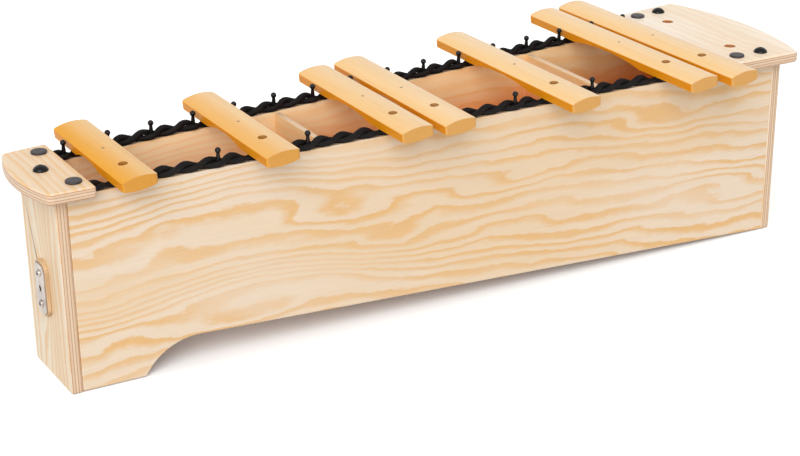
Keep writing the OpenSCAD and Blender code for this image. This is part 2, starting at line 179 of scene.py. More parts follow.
def bevelEdges(piece, test, width, segments):
    # test gets the two end points of an edge
    onlyThis(piece)
    mesh = piece.data
    bpy.context.tool_settings.mesh_select_mode = (False, True, False)
    bpy.ops.object.mode_set(mode="EDIT")
    bpy.ops.mesh.select_all(action="DESELECT")
    bpy.ops.object.mode_set(mode="OBJECT")
    for edge in mesh.edges:
        a, b = (mesh.vertices[i].co for i in edge.vertices)
        edge.select = bool(test(a, b))
    bpy.ops.object.mode_set(mode="EDIT")
    bpy.ops.mesh.bevel(offset=width, segments=segments, affect="EDGES", profile=0.5)
    bpy.ops.object.mode_set(mode="OBJECT")


def carve(piece, cutter, how="DIFFERENCE"):
    onlyThis(piece)
    cut = piece.modifiers.new("carve", "BOOLEAN")
    cut.operation, cut.solver, cut.object = how, "EXACT", cutter
    bpy.ops.object.modifier_apply(modifier=cut.name)
    bpy.data.objects.remove(cutter)


def soften(piece, width, segments=3, angle=32):
    onlyThis(piece)
    edge = piece.modifiers.new("soften", "BEVEL")
    edge.width, edge.segments = width, segments
    edge.limit_method, edge.angle_limit = "ANGLE", math.radians(angle)
    bpy.ops.object.modifier_apply(modifier=edge.name)


def smooth(piece, angle=35, flat=False):
    # flat faces next to rounded edges keep their own normals
    onlyThis(piece)
    bpy.ops.object.shade_smooth_by_angle(angle=math.radians(angle))
    if flat:
        even = piece.modifiers.new("even", "WEIGHTED_NORMAL")
        even.keep_sharp, even.weight = True, 90
        bpy.ops.object.modifier_apply(modifier=even.name)


def lathe(name, profile, sides):
    # rings of (radius, height) drawn out one after the other from a circle
    bpy.ops.object.select_all(action="DESELECT")
    radius, height = profile[0]
    bpy.ops.mesh.primitive_circle_add(
        vertices=sides, radius=radius, fill_type="NGON", location=(0, 0, height)
    )
    turned = bpy.context.object
    turned.name = turned.data.name = name
    applyPlace(turned)
    bpy.ops.object.mode_set(mode="EDIT")
    bpy.ops.mesh.select_all(action="SELECT")
    for nextRadius, nextHeight in profile[1:]:
        bpy.ops.mesh.extrude_region_move(TRANSFORM_OT_translate={"value": (0, 0, nextHeight - height)})
        size = nextRadius / radius
        bpy.ops.transform.resize(value=(size, size, 1), center_override=(0, 0, nextHeight))
        radius, height = nextRadius, nextHeight
    bpy.ops.mesh.select_all(action="SELECT")
    bpy.ops.mesh.normals_make_consistent(inside=False)
    bpy.ops.object.mode_set(mode="OBJECT")
    return turned


def copiesAt(master, name, places):
    # one piece made of copies of the master, each with its own mesh
    copies = []
    for place in places:
        one = master.copy()
        one.data = master.data.copy()
        one.location = place
        bpy.context.collection.objects.link(one)
        copies.append(one)
    bpy.data.objects.remove(master)
    bpy.ops.object.select_all(action="DESELECT")
    for one in copies:
        one.select_set(True)
    bpy.context.view_layer.objects.active = copies[0]
    if len(copies) > 1:
        bpy.ops.object.join()
    joined = bpy.context.object
    joined.name = joined.data.name = name
    applyPlace(joined)
    return joined


def finishPiece(piece, material, slot, body, *nodes):
    piece.data.materials.clear()
    piece.data.materials.append(material)
    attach(piece, body)
    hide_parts(*nodes)


# shader helpers
class Wire:
    # a socket that takes part in Python sums
    def __init__(self, tree, socket):
        self.tree, self.socket = tree, socket

    def make(self, kind, settings=None, inputs=None, output=0):
        node = self.tree.nodes.new(kind)
        for key, value in (settings or {}).items():
            setattr(node, key, value)
        for key, value in (inputs or {}).items():
            if isinstance(value, Wire):
                self.tree.links.new(value.socket, node.inputs[key])
            else:
                node.inputs[key].default_value = value
        return Wire(self.tree, node.outputs[output])

    def math(self, operation, *others):
        return self.make("ShaderNodeMath", {"operation": operation}, dict(enumerate((self, *others))))

    def __add__(self, other):
        return self.math("ADD", other)

    def __mul__(self, other):
        return self.math("MULTIPLY", other)

    def __sub__(self, other):
        return self.math("SUBTRACT", other)

    def __truediv__(self, other):
        return self.math("DIVIDE", other)

    def __rsub__(self, other):
        return self.make("ShaderNodeMath", {"operation": "SUBTRACT"}, {0: other, 1: self})

    def __rtruediv__(self, other):
        return self.make("ShaderNodeMath", {"operation": "DIVIDE"}, {0: other, 1: self})

    __radd__ = __add__
    __rmul__ = __mul__

    def split(self):
        node = self.make("ShaderNodeSeparateXYZ", None, {0: self}).socket.node
        return [Wire(self.tree, socket) for socket in node.outputs]

    def noise(self, place, detail=2.0, roughness=0.5):
        spot = self.make("ShaderNodeCombineXYZ", None, dict(enumerate(place)))
        return self.make(
            "ShaderNodeTexNoise", None,
            {"Vector": spot, "Scale": 1.0, "Detail": detail, "Roughness": roughness},
        )

    def between(self, low, high):
        # 0 below low, 1 above high, eased
        return self.make(
            "ShaderNodeMapRange", {"interpolation_type": "SMOOTHSTEP"},
            {"Value": self, "From Min": low, "From Max": high},
        )

    def mix(self, first, second, blend="MIX"):
        settings = {"data_type": "RGBA", "blend_type": blend}
        return self.make("ShaderNodeMix", settings, {0: self, 6: first, 7: second}, 2)

    def bright(self, colour):
        return self.make("ShaderNodeHueSaturation", None, {"Value": self, "Color": colour})


def newMaterial(name, fixed):
    # a Principled material with its constant sockets set, and the object's own coordinates
    material = bpy.data.materials.new(name)
    material.use_nodes = True
    tree = material.node_tree
    shader = tree.nodes["Principled BSDF"]
    for key, value in fixed.items():
        shader.inputs[key].default_value = value
    spot = tree.nodes.new("ShaderNodeTexCoord")
    return material, shader, Wire(tree, spot.outputs["Object"])


def feed(shader, key, wire):
    wire.tree.links.new(wire.socket, shader.inputs[key])


def bump(shader, height, depth):
    feed(shader, "Normal", height.make("ShaderNodeBump", None, {"Height": height, "Distance": depth}))


def colour(red, green, blue):
    # screen colour 0-255 to the linear one that sockets take
    def linear(value):
        value /= 255
        return value / 12.92 if value <= 0.04045 else ((value + 0.055) / 1.055) ** 2.4
    return tuple(linear(v) for v in (red, green, blue)) + (1.0,)


def hill(*shares):
    # bell of height 1 where all the shares are 0
    total = shares[0] * shares[0]
    for share in shares[1:]:
        total = total + share * share
    return (total * -1.0).math("EXPONENT")


# plywood, a solid texture: plies through the board, rings of a peeled log on its faces
plywood = {
    "pale": colour(243, 222, 197),
    "warm": colour(241, 214, 180),
    "ring": colour(237, 191, 131),
    "core": colour(240, 214, 182),
    "crossCore": colour(228, 193, 156),
    "glue": colour(178, 120, 98),
    "inside": colour(255, 248, 222),  # painted light and shade: tint of the bare inner faces near their top
    "paintedDeepShade": colour(242, 166, 70),  # and far down in the box, painted shade with the warm glow of light bounced inside it
    "insideDepth": (18 * mm, 70 * mm),  # depth below the panel tops over which the painted shade goes from the one tint to the other
    "insideLift": 0.19,  # painted light: how much brighter the bare inner faces are made
    "drilled": colour(218, 176, 136),  # painted shade inside drilled holes
    "ringStart": (0.3, 0.76),  # share of a ring over which its dark band sets in
    "ringEnd": (0.86, 1.0),  # and over which it ends
    "roughness": 0.46,
    "relief": 0.05 * mm,
}


def veneer(place, along, across, look, strongest):
    # level lines of a wavy surface: rings that start softly and end sharply
    seed = look["seed"]
    level = across
    for x, reach, rise in look["arches"]:
        level = level - hill((along - x) / reach) * rise
    rings = level / look["ringGap"]
    for x, reach, low, high, count in look["bundles"]:
        rings = rings + hill((along - x) / reach) * level.between(low, high) * count
    for x, z, reach, tall, rise in look["eyes"]:
        rings = rings + hill((along - x) / reach, (across - z) / tall) * rise
    for i, (fineAlong, fineAcross, strength) in enumerate(look["waves"]):
        wave = place.noise((along * fineAlong, across * fineAcross, seed + 3.7 * i), 2.0, 0.5)
        rings = rings + (wave - 0.5) * strength
    phase = rings.math("FRACT")
    width = place.noise((along * 6, across * 26, seed + 8.4), 2.0, 0.5)
    late = (phase + (width - 0.5) * 0.8).between(*plywood["ringStart"])
    late = late * (1 - phase.between(*plywood["ringEnd"]))
    strength = place.noise((along * 5, across * 20, seed + 9.2), 2.0, 0.5).between(0.25, 0.65)
    late = late * (0.35 + 0.65 * strength) * strongest * look["contrast"]
    streak = place.noise((along * 14, across * 420, seed + 2.3), 3.0, 0.6)
    fibre = place.noise((along * 60, across * 2600, seed + 5.3), 2.0, 0.6)
    tone = place.noise((along * 3, across * 14, seed + 6.1), 2.0, 0.5).between(0.35, 0.65)
    ground = tone.mix(look.get("pale", plywood["pale"]), look.get("warm", plywood["warm"]))
    ringed = late.mix(ground, plywood["ring"])
    wood = ((streak - 0.5) * 0.1 + (fibre - 0.5) * 0.12 + 1.0).bright(ringed)
    return wood, late, fibre


def plyMaterial(name, seams, depthOf, alongOf, acrossOf, look):
    # depth is 0 at the bare inner face and 1 at the lacquered outer one, and seams are shares of it
    material, shader, place = newMaterial(name, {"Coat Weight": 0.06, "Coat Roughness": 0.3})
    x, y, z = place.split()
    depth = depthOf(x, y, z)
    bare = look["bare"] * (1 - depth.between(0.02, 0.1))
    if "inside" in look:
        bare = bare * y.math("ABSOLUTE").math("LESS_THAN", look["inside"])
    face, late, fibre = veneer(place, alongOf(x, y, z), acrossOf(x, y, z), look, 1 - bare * 0.45)
    # painted light and shade on the bare inner faces: a tint that deepens below the panel tops, and a
    # lift in brightness
    deep = (panelTop - z).between(*plywood["insideDepth"])
    paintedShadeTint = deep.mix(plywood["inside"], plywood["paintedDeepShade"])
    wood = (1 + bare * plywood["insideLift"]).bright(bare.mix(face, paintedShadeTint, "MULTIPLY"))
    grit = place.noise((x * 520, y * 520, z * 520), 3.0, 0.6)
    if seams:
        layer = sum(depth.math("GREATER_THAN", seam) for seam in seams)
        crossed = (layer * 0.5).math("FRACT") * 2
        rough = grit.between(0.4, 0.8) * 0.35 + crossed * 0.55
        core = rough.mix(plywood["core"], plywood["crossCore"])
        within = depth.math("GREATER_THAN", seams[0]) * depth.math("LESS_THAN", seams[-1])
        wood = within.mix(wood, core)
        glue = sum(depth.math("COMPARE", seam, look["seamHalf"]) for seam in seams)
        wood = (glue * (0.4 + 0.6 * grit)).mix(wood, plywood["glue"])
    # painted shade inside the drilled holes, reaching a little past their walls
    if "hole" in look:
        holeX, holeY, radius = look["hole"]
        awayX, awayY = x - holeX, y.math("ABSOLUTE") - holeY
        inHole = (awayX * awayX + awayY * awayY).math("SQRT").math("LESS_THAN", radius)
        wood = inHole.mix(wood, plywood["drilled"], "MULTIPLY")
    feed(shader, "Base Color", wood)
    feed(shader, "Roughness", plywood["roughness"] + (fibre - 0.5) * 0.15 - late * 0.05)
    bump(shader, fibre * 0.6 + late * 0.4, plywood["relief"])
    return material


sideGrain = {
    "seed": 3.4,
    "contrast": 1.0,
    "bare": 0.9,  # how far the inner face lacks the lacquer and takes the painted light and shade of the box's inside
    "seamHalf": 0.03,  # half the width of a glue line, as a share of the board
    "slant": 0.04,  # of the figure through the box, so that front and back differ
    "ringGap": 15 * mm,
    "arches": [  # middle, reach and rise of sweeps in all the lines
        (-229 * mm, 130 * mm, 27 * mm),
        (440 * mm, 320 * mm, -62 * mm),
    ],
    "bundles": [  # middle, reach and levels of a stretch with so many more or fewer rings
        (-230 * mm, 260 * mm, 0 * mm, 44 * mm, -0.2),
        (-230 * mm, 260 * mm, 44 * mm, 82 * mm, 2.9),
        (-230 * mm, 260 * mm, 84 * mm, 138 * mm, -1.4),
        (-230 * mm, 260 * mm, 136 * mm, 186 * mm, 3.0),
    ],
    "eyes": [  # middle, reach, height and rise of single figures
        (-137 * mm, 132 * mm, 56 * mm, 15 * mm, 1.3),
        (-245 * mm, 40 * mm, 85 * mm, 15 * mm, 1.9),
        (70 * mm, 122 * mm, 60 * mm, 12 * mm, 1.2),
        (250 * mm, 155 * mm, 60 * mm, 13 * mm, 1.3),
        (330 * mm, 70 * mm, 60 * mm, 14 * mm, -1.0),
    ],
    "waves": [  # how fine along and across, and how strong
        (4.5, 12.0, 2.0),
        (11.0, 30.0, 1.7),
        (24.0, 52.0, 0.65),
        (120.0, 280.0, 0.25),
    ],
}
endGrain = {
    "seed": 11.8, "contrast": 0.85, "bare": 0.9, "seamHalf": 0.032, "ringGap": 11 * mm,
    "pale": colour(248, 232, 206),
    "arches": [], "bundles": [], "eyes": [(110 * mm, 6 * mm, 90 * mm, 16 * mm, 2.0)],
    "waves": [(4.0, 12.0, 3.0), (14.0, 40.0, 0.7), (60.0, 300.0, 0.3)],
}
innerGrain = {
    "seed": 31.7, "contrast": 0.8, "bare": 0.85, "seamHalf": 0.03, "ringGap": 14 * mm,
    "pale": colour(236, 208, 172),
    "arches": [], "bundles": [], "eyes": [],
    "waves": [(4.0, 12.0, 4.0), (16.0, 40.0, 0.8), (60.0, 300.0, 0.3)],
}
# glue lines of the boards, as shares of their thickness
thinSeams = [0.16, 0.39, 0.61, 0.84]
boardSeams = [0.15, 0.39, 0.63, 0.87]
dividerSeams = [0.22, 0.78]

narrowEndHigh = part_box("end_panel_narrow")[1].x
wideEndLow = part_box("end_panel_wide")[0].x
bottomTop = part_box("bottom_board")[1].z


def sideDepth(x, y, z):
    return (y.math("ABSOLUTE") - (x - sideLow.x) * sideTaper - sideLow.y) / boxPlan["sideThick"]


def narrowEndDepth(x, y, z):
    return (narrowEndHigh - x) / boxPlan["endThick"]


def wideEndDepth(x, y, z):
    return (x - wideEndLow) / boxPlan["endThick"]


def bottomDepth(x, y, z):
    return z - bottomTop


def dividerDepth(node):
    return lambda x, y, z: 0.5 - (x - middle(node).x).math("ABSOLUTE") / boxPlan["dividerThick"]


def upright(x, y, z):
    return z


def slanted(x, y, z):
    return z + y * sideGrain["slant"]


def lengthways(x, y, z):
    return x


def crossways(x, y, z):
    return y


sidePly = plyMaterial("sidePly", thinSeams, sideDepth, lengthways, slanted, sideGrain)
endNarrowPly = plyMaterial(
    "endNarrowPly", boardSeams, narrowEndDepth, upright, crossways,
    dict(endGrain, inside=insideHalf(narrowEndHigh)),
)
endWidePly = plyMaterial(
    "endWidePly", boardSeams, wideEndDepth, upright, crossways,
    dict(endGrain, seed=47.2, inside=insideHalf(wideEndLow)),
)
bottomGrain = dict(innerGrain, bare=0.4)
bottomPly = plyMaterial("bottomPly", [], bottomDepth, lengthways, crossways, bottomGrain)

boardEdges = {  # width of the eased edges
    "side": 0.5 * mm,
    "end": 2.4 * mm,
    "bottom": 0.4 * mm,
    "divider": 0.5 * mm,
}


def keepNode(node, material, edge, segments=2):
    # a CAD node that stays, with eased edges and its own finish
    piece = frame["nodes"][node]
    piece.data.materials.clear()
    piece.data.materials.append(material)
    weld = piece.modifiers.new("weld", "WELD")
    weld.merge_threshold = 0.005 * mm
    flat = piece.modifiers.new("flat", "DECIMATE")
    flat.decimate_type, flat.angle_limit = "DISSOLVE", math.radians(0.5)
    ease = piece.modifiers.new("ease", "BEVEL")
    ease.width, ease.segments = edge, segments
    ease.limit_method, ease.angle_limit = "ANGLE", math.radians(40)
    ease.harden_normals = True
    ease.use_clamp_overlap = False  # short edges of round corners would hold it back


for node in ("side_panel_front", "side_panel_back"):
    keepNode(node, sidePly, boardEdges["side"])
keepNode("end_panel_narrow", endNarrowPly, boardEdges["end"], 4)
keepNode("end_panel_wide", endWidePly, boardEdges["end"], 4)
keepNode("bottom_board", bottomPly, boardEdges["bottom"])
for number, node in enumerate(("divider_narrow", "divider_wide")):
    grain = dict(innerGrain, seed=innerGrain["seed"] + number)
    dividerPly = plyMaterial(node + "Ply", dividerSeams, dividerDepth(node), crossways, upright, grain)
    keepNode(node, dividerPly, boardEdges["divider"])
print("panels and boards finished")


# end caps: boards with a bowed outer edge, grooved underneath for the cords
capShape = {
    "overhang": 16 * mm,
    "narrowBow": 12 * mm,
    "wideBow": 20 * mm,
    "bowRound": 8 * mm,  # corners between the bow and the sides
    "innerRound": 3 * mm,  # corners at the inner edge
    "edgeRound": 2.4 * mm,
    "grooveHalf": 7.35 * mm,
    "grooveEnd": 7.65 * mm,
    "grooveHeight": 10.24 * mm,
    "grooveRun": 50 * mm,  # length of the groove's cutter, past the cap's inner edge
    "grooveStart": 5 * mm,  # and how far it reaches below the cap
    "holeRadius": 6.25 * mm,
    "holeSpan": 109.5 * mm,
    "holeX": 372.5 * mm,
    "holeEase": 0.5 * mm,
    "holeShadeReach": 0.1 * mm,  # how far the painted shade of a drilled hole reaches past its wall
}
capGrain = {
    "seed": 21.3, "contrast": 1.0, "bare": 0.5, "seamHalf": 0.034, "ringGap": 9 * mm,
    "pale": colour(238, 208, 176),
    "arches": [], "bundles": [], "eyes": [],
    "waves": [(5.0, 16.0, 2.6), (18.0, 50.0, 0.7), (60.0, 320.0, 0.3)],
}
wideCapGrain = dict(
    capGrain, seed=57.9, contrast=0.28, ringGap=13 * mm,
    pale=colour(255, 242, 224), warm=colour(250, 228, 200),
    hole=(capShape["holeX"], capShape["holeSpan"] / 2, capShape["holeRadius"] + capShape["holeShadeReach"]),
)
capSeams = [0.15, 0.38, 0.62, 0.85]


def capDepth(x, y, z):
    return (z - panelTop) / boxPlan["capThick"]


capNarrowPly = plyMaterial("capNarrowPly", capSeams, capDepth, crossways, lengthways, capGrain)
capWidePly = plyMaterial("capWidePly", capSeams, capDepth, crossways, lengthways, wideCapGrain)


def arc(centre, radius, start, end, steps):
    angles = [start + (end - start) * i / steps for i in range(steps + 1)]
    return [(centre[0] + radius * math.cos(a), centre[1] + radius * math.sin(a)) for a in angles]


def capOutline(innerX, tipX, bow, outwards):
    # half outline in coordinates (outwards, sideways), drawn in by the rounding of the edges
    inset, bowRound, innerRound = (capShape[key] for key in ("edgeRound", "bowRound", "innerRound"))
    inner, tip = outwards * innerX, outwards * tipX
    reach = halfWidth(outwards * (tip - bow)) + capShape["overhang"]
    bowRadius = arcRadius(reach, bow)
    sideAngle = math.atan(outwards * sideTaper)
    ahead = Vector((math.cos(sideAngle), math.sin(sideAngle)))
    square = Vector((-ahead.y, ahead.x))
    bowMiddle = Vector((tip - bowRadius, 0))
    # the bow's corner circle touches the side and the bow from inside
    start = Vector((tip - bow, reach)) - square * bowRound - bowMiddle
    lean = start.dot(ahead)
    step = math.sqrt(lean * lean - start.dot(start) + (bowRadius - bowRound) ** 2) - lean
    toCorner = start + ahead * step
    bowAngle = math.atan2(toCorner.y, toCorner.x)
    innerSpot = inner + innerRound
    innerReach = reach + (innerSpot - tip + bow) * math.tan(sideAngle)
    innerReach -= innerRound / math.cos(sideAngle)
    sideNormal = math.pi / 2 + sideAngle
    upper = arc(bowMiddle, bowRadius - inset, 0, bowAngle, 40)
    upper += arc(bowMiddle + toCorner, bowRound - inset, bowAngle, sideNormal, 12)
    upper += arc((innerSpot, innerReach), innerRound - inset, sideNormal, math.pi, 5)
    return [(outwards * s, y) for s, y in upper + [(s, -y) for s, y in reversed(upper[1:])]]


def chamferedRod(x, y):
    # cutter of a hole through the cap with an eased upper rim
    r, ease = capShape["holeRadius"], capShape["holeEase"]
    rings = [(r, -2 * boxPlan["capThick"]), (r, -ease), (r + ease, 0), (r + 3 * ease, 2 * ease)]
    rod = lathe("hole", rings, 64)
    rod.location = (x, y, capTop)
    applyPlace(rod)
    return rod


def makeCap(node, bow, outwards, plugX, material):
    low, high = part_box(node)
    innerX, tipX = (high.x, low.x) if outwards < 0 else (low.x, high.x)
    drawn = addCurve(node + "_board", [capOutline(innerX, tipX, bow, outwards)], flat=True)
    edge = capShape["edgeRound"]
    drawn.data.fill_mode = "BOTH"
    drawn.data.extrude = boxPlan["capThick"] / 2 - edge
    drawn.data.bevel_depth, drawn.data.bevel_resolution = edge, 4
    drawn.location.z = (panelTop + capTop) / 2
    cap = toMesh(drawn)
    applyPlace(cap)
    half, tall = capShape["grooveHalf"], capShape["grooveHeight"]
    for side in (-1, 1):
        plugY = side * pinLine(plugX)
        slot = addBlock("slot", (0, -half, -capShape["grooveStart"]), (capShape["grooveRun"], half, tall))
        slot.rotation_euler.z = side * sideTurn + (math.pi if outwards > 0 else 0)
        slot.location = (plugX, plugY, panelTop)
        applyPlace(slot)
        carve(cap, slot)
        carve(cap, addRod(capShape["grooveEnd"], 2 * tall, (plugX, plugY, panelTop), sides=48))
    if outwards > 0:
        for side in (-1, 1):
            carve(cap, chamferedRod(capShape["holeX"], side * capShape["holeSpan"] / 2))
    smooth(cap, flat=True)
    finishPiece(cap, material, "plywood", "resonator", node)


makeCap("end_cap_narrow", capShape["narrowBow"], -1, plugNarrowX, capNarrowPly)
makeCap("end_cap_wide", capShape["wideBow"], 1, plugWideX, capWidePly)
print("end caps made")


# tone bars: crowned above, bellied below, with a tuning arch and a hole for the front peg
barShape = {
    "width": 36 * mm,
    "side": 8.5 * mm,
    "crown": 3 * mm,
    "belly": 2.4 * mm,
    "cornerRound": 3 * mm,
    "edgeRound": 0.9 * mm,
    "holeRadius": 4.5 * mm,
    "archHeight": 8 * mm,
    "archInset": 13 * mm,
    "lean": 5,  # degrees, the wide side up
    "restHeight": 217.044 * mm,
    "shortLength": 172 * mm,
    "longLength": 310 * mm,
    "semitones": [24, 19, 14, 12, 7, 2, 0],  # over the lowest bar
    "turns": [0, -0.6, -0.6, -0.6, 0, 0, 0.4],  # degrees by which each bar lies askew
    "tones": [0.0, 0.35, 0.8, 0.9, 1.0, 1.0, 1.0],  # 0 golden, 1 pale peach
}


barLook = {
    "finish": {"Specular IOR Level": 0.24, "Coat Weight": 0.06, "Coat Roughness": 0.2},
    "roughness": 0.38,
    "relief": 0.04 * mm,
    "goldenLeft": colour(234, 162, 22),  # upper face, along its long edges; darker on the left and paler on the right, partly the wood's tone and partly painted shade and sheen
    "goldenRight": colour(248, 207, 147),
    "paleLeft": colour(248, 208, 149),
    "paleRight": colour(253, 226, 190),
    # painted highlight along the right upper edge
    "paintedEdgeSheen": colour(254, 230, 200),
    "goldenGrain": colour(226, 158, 50),
    "paleGrain": colour(238, 186, 106),
    "flank": colour(234, 150, 12),
    "flankLayer": colour(206, 118, 6),
    "goldenButt": colour(227, 161, 67),
    "paleButt": colour(229, 172, 98),
    "buttRing": colour(198, 130, 56),
    "heart": 14 * mm,  # depth of the end rings' middle under the bar
    # painted shade in and round the peg hole
    "hole": colour(172, 108, 28),
    "holeShadeRim": (4.7 * mm, 5.2 * mm),
    "dot": colour(108, 96, 90),  # mark in the middle of the upper face
    "dotRim": (1.3 * mm, 2.0 * mm),
}


def barMaterial():
    k = barLook
    material, shader, place = newMaterial("barWood", k["finish"])
    local = place.make("ShaderNodeAttribute", {"attribute_name": "barPlace"}, None, "Vector")
    share = place.make("ShaderNodeAttribute", {"attribute_name": "barShare"}, None, "Vector")
    hole = place.make("ShaderNodeAttribute", {"attribute_name": "barHole"}, None, "Fac")
    u, v, w = local.split()
    shareU, shareV, tone = share.split()
    seed = tone * 31
    grain = place.noise((u * 620, v * 9, seed + w * 300), 4.0, 0.6)
    wave = place.noise((u * 70, v * 5, seed + 5.0), 2.0, 0.5)
    pores = place.noise((u * 1500, v * 70, seed + 9.0), 2.0, 0.6).between(0.58, 0.72)
    # upper and lower faces, paler to the right: partly the wood's tone, partly painted shade on the left
    # and painted sheen on the right
    left = tone.mix(k["goldenLeft"], k["paleLeft"])
    right = tone.mix(k["goldenRight"], k["paleRight"])
    top = shareU.between(-1.0, 1.0).mix(left, right)
    # painted highlight along the right upper edge
    top = (shareU.between(0.8, 0.95) * 0.4).mix(top, k["paintedEdgeSheen"])
    lines = grain.between(0.35, 0.75) * 0.3 + wave.between(0.35, 0.7) * 0.2 + pores * 0.2
    top = lines.mix(top, tone.mix(k["goldenGrain"], k["paleGrain"]))
    # long sides with their layers, ends with their rings
    layers = (w * 300 + wave * 0.6).math("FRACT").between(0.7, 0.98)
    flank = (layers * (0.35 + 0.4 * tone)).mix(k["flank"], k["flankLayer"])
    deep = w + k["heart"]
    rings = ((u * u + deep * deep).math("SQRT") * 380 + wave * 1.6).math("FRACT").between(0.5, 0.98)
    butt = tone.mix(k["goldenButt"], k["paleButt"])
    butt = (rings * 0.22 + grain.between(0.5, 0.8) * 0.25).mix(butt, k["buttRing"])
    wood = shareU.math("ABSOLUTE").between(0.955, 0.985).mix(top, flank)
    wood = shareV.math("ABSOLUTE").between(0.985, 0.996).mix(wood, butt)
    # painted shade in and round the peg hole
    wood = ((1 - hole.between(*k["holeShadeRim"])) * 0.8).mix(wood, k["hole"])
    dot = 1 - (u * u + v * v).math("SQRT").between(*k["dotRim"])
    wood = (dot * w.math("GREATER_THAN", 2 * mm) * 0.75).mix(wood, k["dot"])
    feed(shader, "Base Color", wood)
    feed(shader, "Roughness", k["roughness"] + grain * 0.14)
    bump(shader, grain, k["relief"])
    return material


barWood = barMaterial()


def makeBar(number):
    node = f"bar_{number + 1}"
    s = barShape
    pitch = s["semitones"][number] / max(s["semitones"])
    length = s["longLength"] * (s["shortLength"] / s["longLength"]) ** pitch
    half = s["width"] / 2
    centreX, centreY = turnX(pegRow["barGaps"][number]), middle(node).y
    tall = s["side"] / 2 + s["crown"] + s["belly"]
    bar = addBlock(node + "_wood", (-half, -length / 2, -tall), (half, length / 2, tall))
    bevelEdges(bar, lambda a, b: abs(a.z - b.z) > mm, s["cornerRound"], 6)
    lengthwise, sidewise = (math.pi / 2, 0, 0), (0, math.pi / 2, 0)
    crownRadius = arcRadius(half, s["crown"])
    crownZ = s["side"] / 2 + s["crown"] - crownRadius
    carve(bar, addRod(crownRadius, 1, (0, 0, crownZ), lengthwise, 256), "INTERSECT")
    bellyRadius = arcRadius(half, s["belly"])
    bellyZ = bellyRadius - s["belly"] - s["side"] / 2
    carve(bar, addRod(bellyRadius, 1, (0, 0, bellyZ), lengthwise, 256), "INTERSECT")
    archHalf = pinLine(centreX) - s["archInset"]
    archRadius = arcRadius(archHalf, s["archHeight"])
    archZ = s["archHeight"] - s["side"] / 2 - s["belly"] - archRadius
    carve(bar, addRod(archRadius, 0.1, (0, 0, archZ), sidewise, 360))
    askew = math.radians(s["turns"][number])
    toPeg = -pinLine(centreX) - centreY
    holeX, holeY = toPeg * math.sin(askew), toPeg * math.cos(askew)
    carve(bar, addRod(s["holeRadius"], 0.1, (holeX, holeY, 0), sides=48))
    soften(bar, s["edgeRound"])
    marks = bar.data.attributes
    for name, kind in (("barPlace", "FLOAT_VECTOR"), ("barShare", "FLOAT_VECTOR"), ("barHole", "FLOAT")):
        marks.new(name, kind, "POINT")
    for i, point in enumerate(bar.data.vertices):
        x, y = point.co.x, point.co.y
        marks["barPlace"].data[i].vector = point.co
        marks["barShare"].data[i].vector = (x / half, 2 * y / length, s["tones"][number])
        marks["barHole"].data[i].value = math.hypot(x - holeX, y - holeY)
    bar.rotation_euler = (0, -math.radians(s["lean"]), askew)
    bar.location = (centreX, centreY, s["restHeight"])
    applyPlace(bar)
    smooth(bar, 30, flat=True)
    finishPiece(bar, barWood, "bar_wood", node, node)


for number in range(len(pegRow["barGaps"])):
    makeBar(number)
print("tone bars made")


# cords: one loop each, two strands that turn round each other once per peg pitch
cordShape = {
    "strand": 6.2 * mm,
    "stack": 2.95 * mm,  # half the distance between the strands
    "spread": 5.2 * mm,  # half their distance at a peg
    "plugSpread": 4.3 * mm,  # and round a plug's pin
    "pairRest": 0.55,  # share of the stack by which the pair is raised where it lies side by side
    "pairClimb": 0.35,  # and by which it climbs to where one strand lies over the other
    "twistFade": 0.25,  # turns next to a plug over which the twist dies out
    "spreadReach": 0.34,  # turns to either side of a peg over which the strands close up
    "spreadPower": 4,  # and how sharply they do
    "underBar": 0.59,  # share of its height that the cord keeps under a bar
    "underCap": 0.84,  # and under a cap
    "pressFade": 0.2,  # turns over which it rises again
    "capTurns": 0.28,  # turns that lie under a cap
    "stepsPerTurn": 28,
    "stepsPerEnd": 14,
    "lobes": 6,  # yarns that show round a strand
    "lobeDepth": 0.09,
    "lay": 22 * mm,  # length in which the yarns go once round a strand
    "dark": colour(7, 5, 5),
    "pale": colour(26, 20, 18),
    "relief": 0.25 * mm,
}


def cordMaterial():
    material, shader, place = newMaterial("cordBlack", {"Specular IOR Level": 0.2})
    x, y, z = place.split()
    fibre = place.noise((x * 900, y * 900, z * 900), 3.0, 0.65)
    patch = place.noise((x * 120, y * 120, z * 120), 2.0, 0.5)
    shade = (fibre * 0.6 + patch * 0.4).between(0.35, 0.7)
    feed(shader, "Base Color", shade.mix(cordShape["dark"], cordShape["pale"]))
    feed(shader, "Roughness", 0.6 + fibre * 0.25)
    bump(shader, fibre, cordShape["relief"])
    return material


cordBlack = cordMaterial()


def keptHeight(turn):
    # share of its full height that the cord has here
    c, ends = cordShape, (0, pegRow["turns"])
    held = [(gap, barShape["width"] / 2 / pegPitch, c["underBar"]) for gap in pegRow["barGaps"]]
    held += [(end, c["capTurns"], c["underCap"]) for end in ends]
    shares = []
    for middleTurn, reach, share in held:
        near = (reach + c["pressFade"] - abs(turn - middleTurn)) / c["pressFade"]
        shares.append(1 - (1 - share) * min(1, max(0, near)))
    return min(shares)


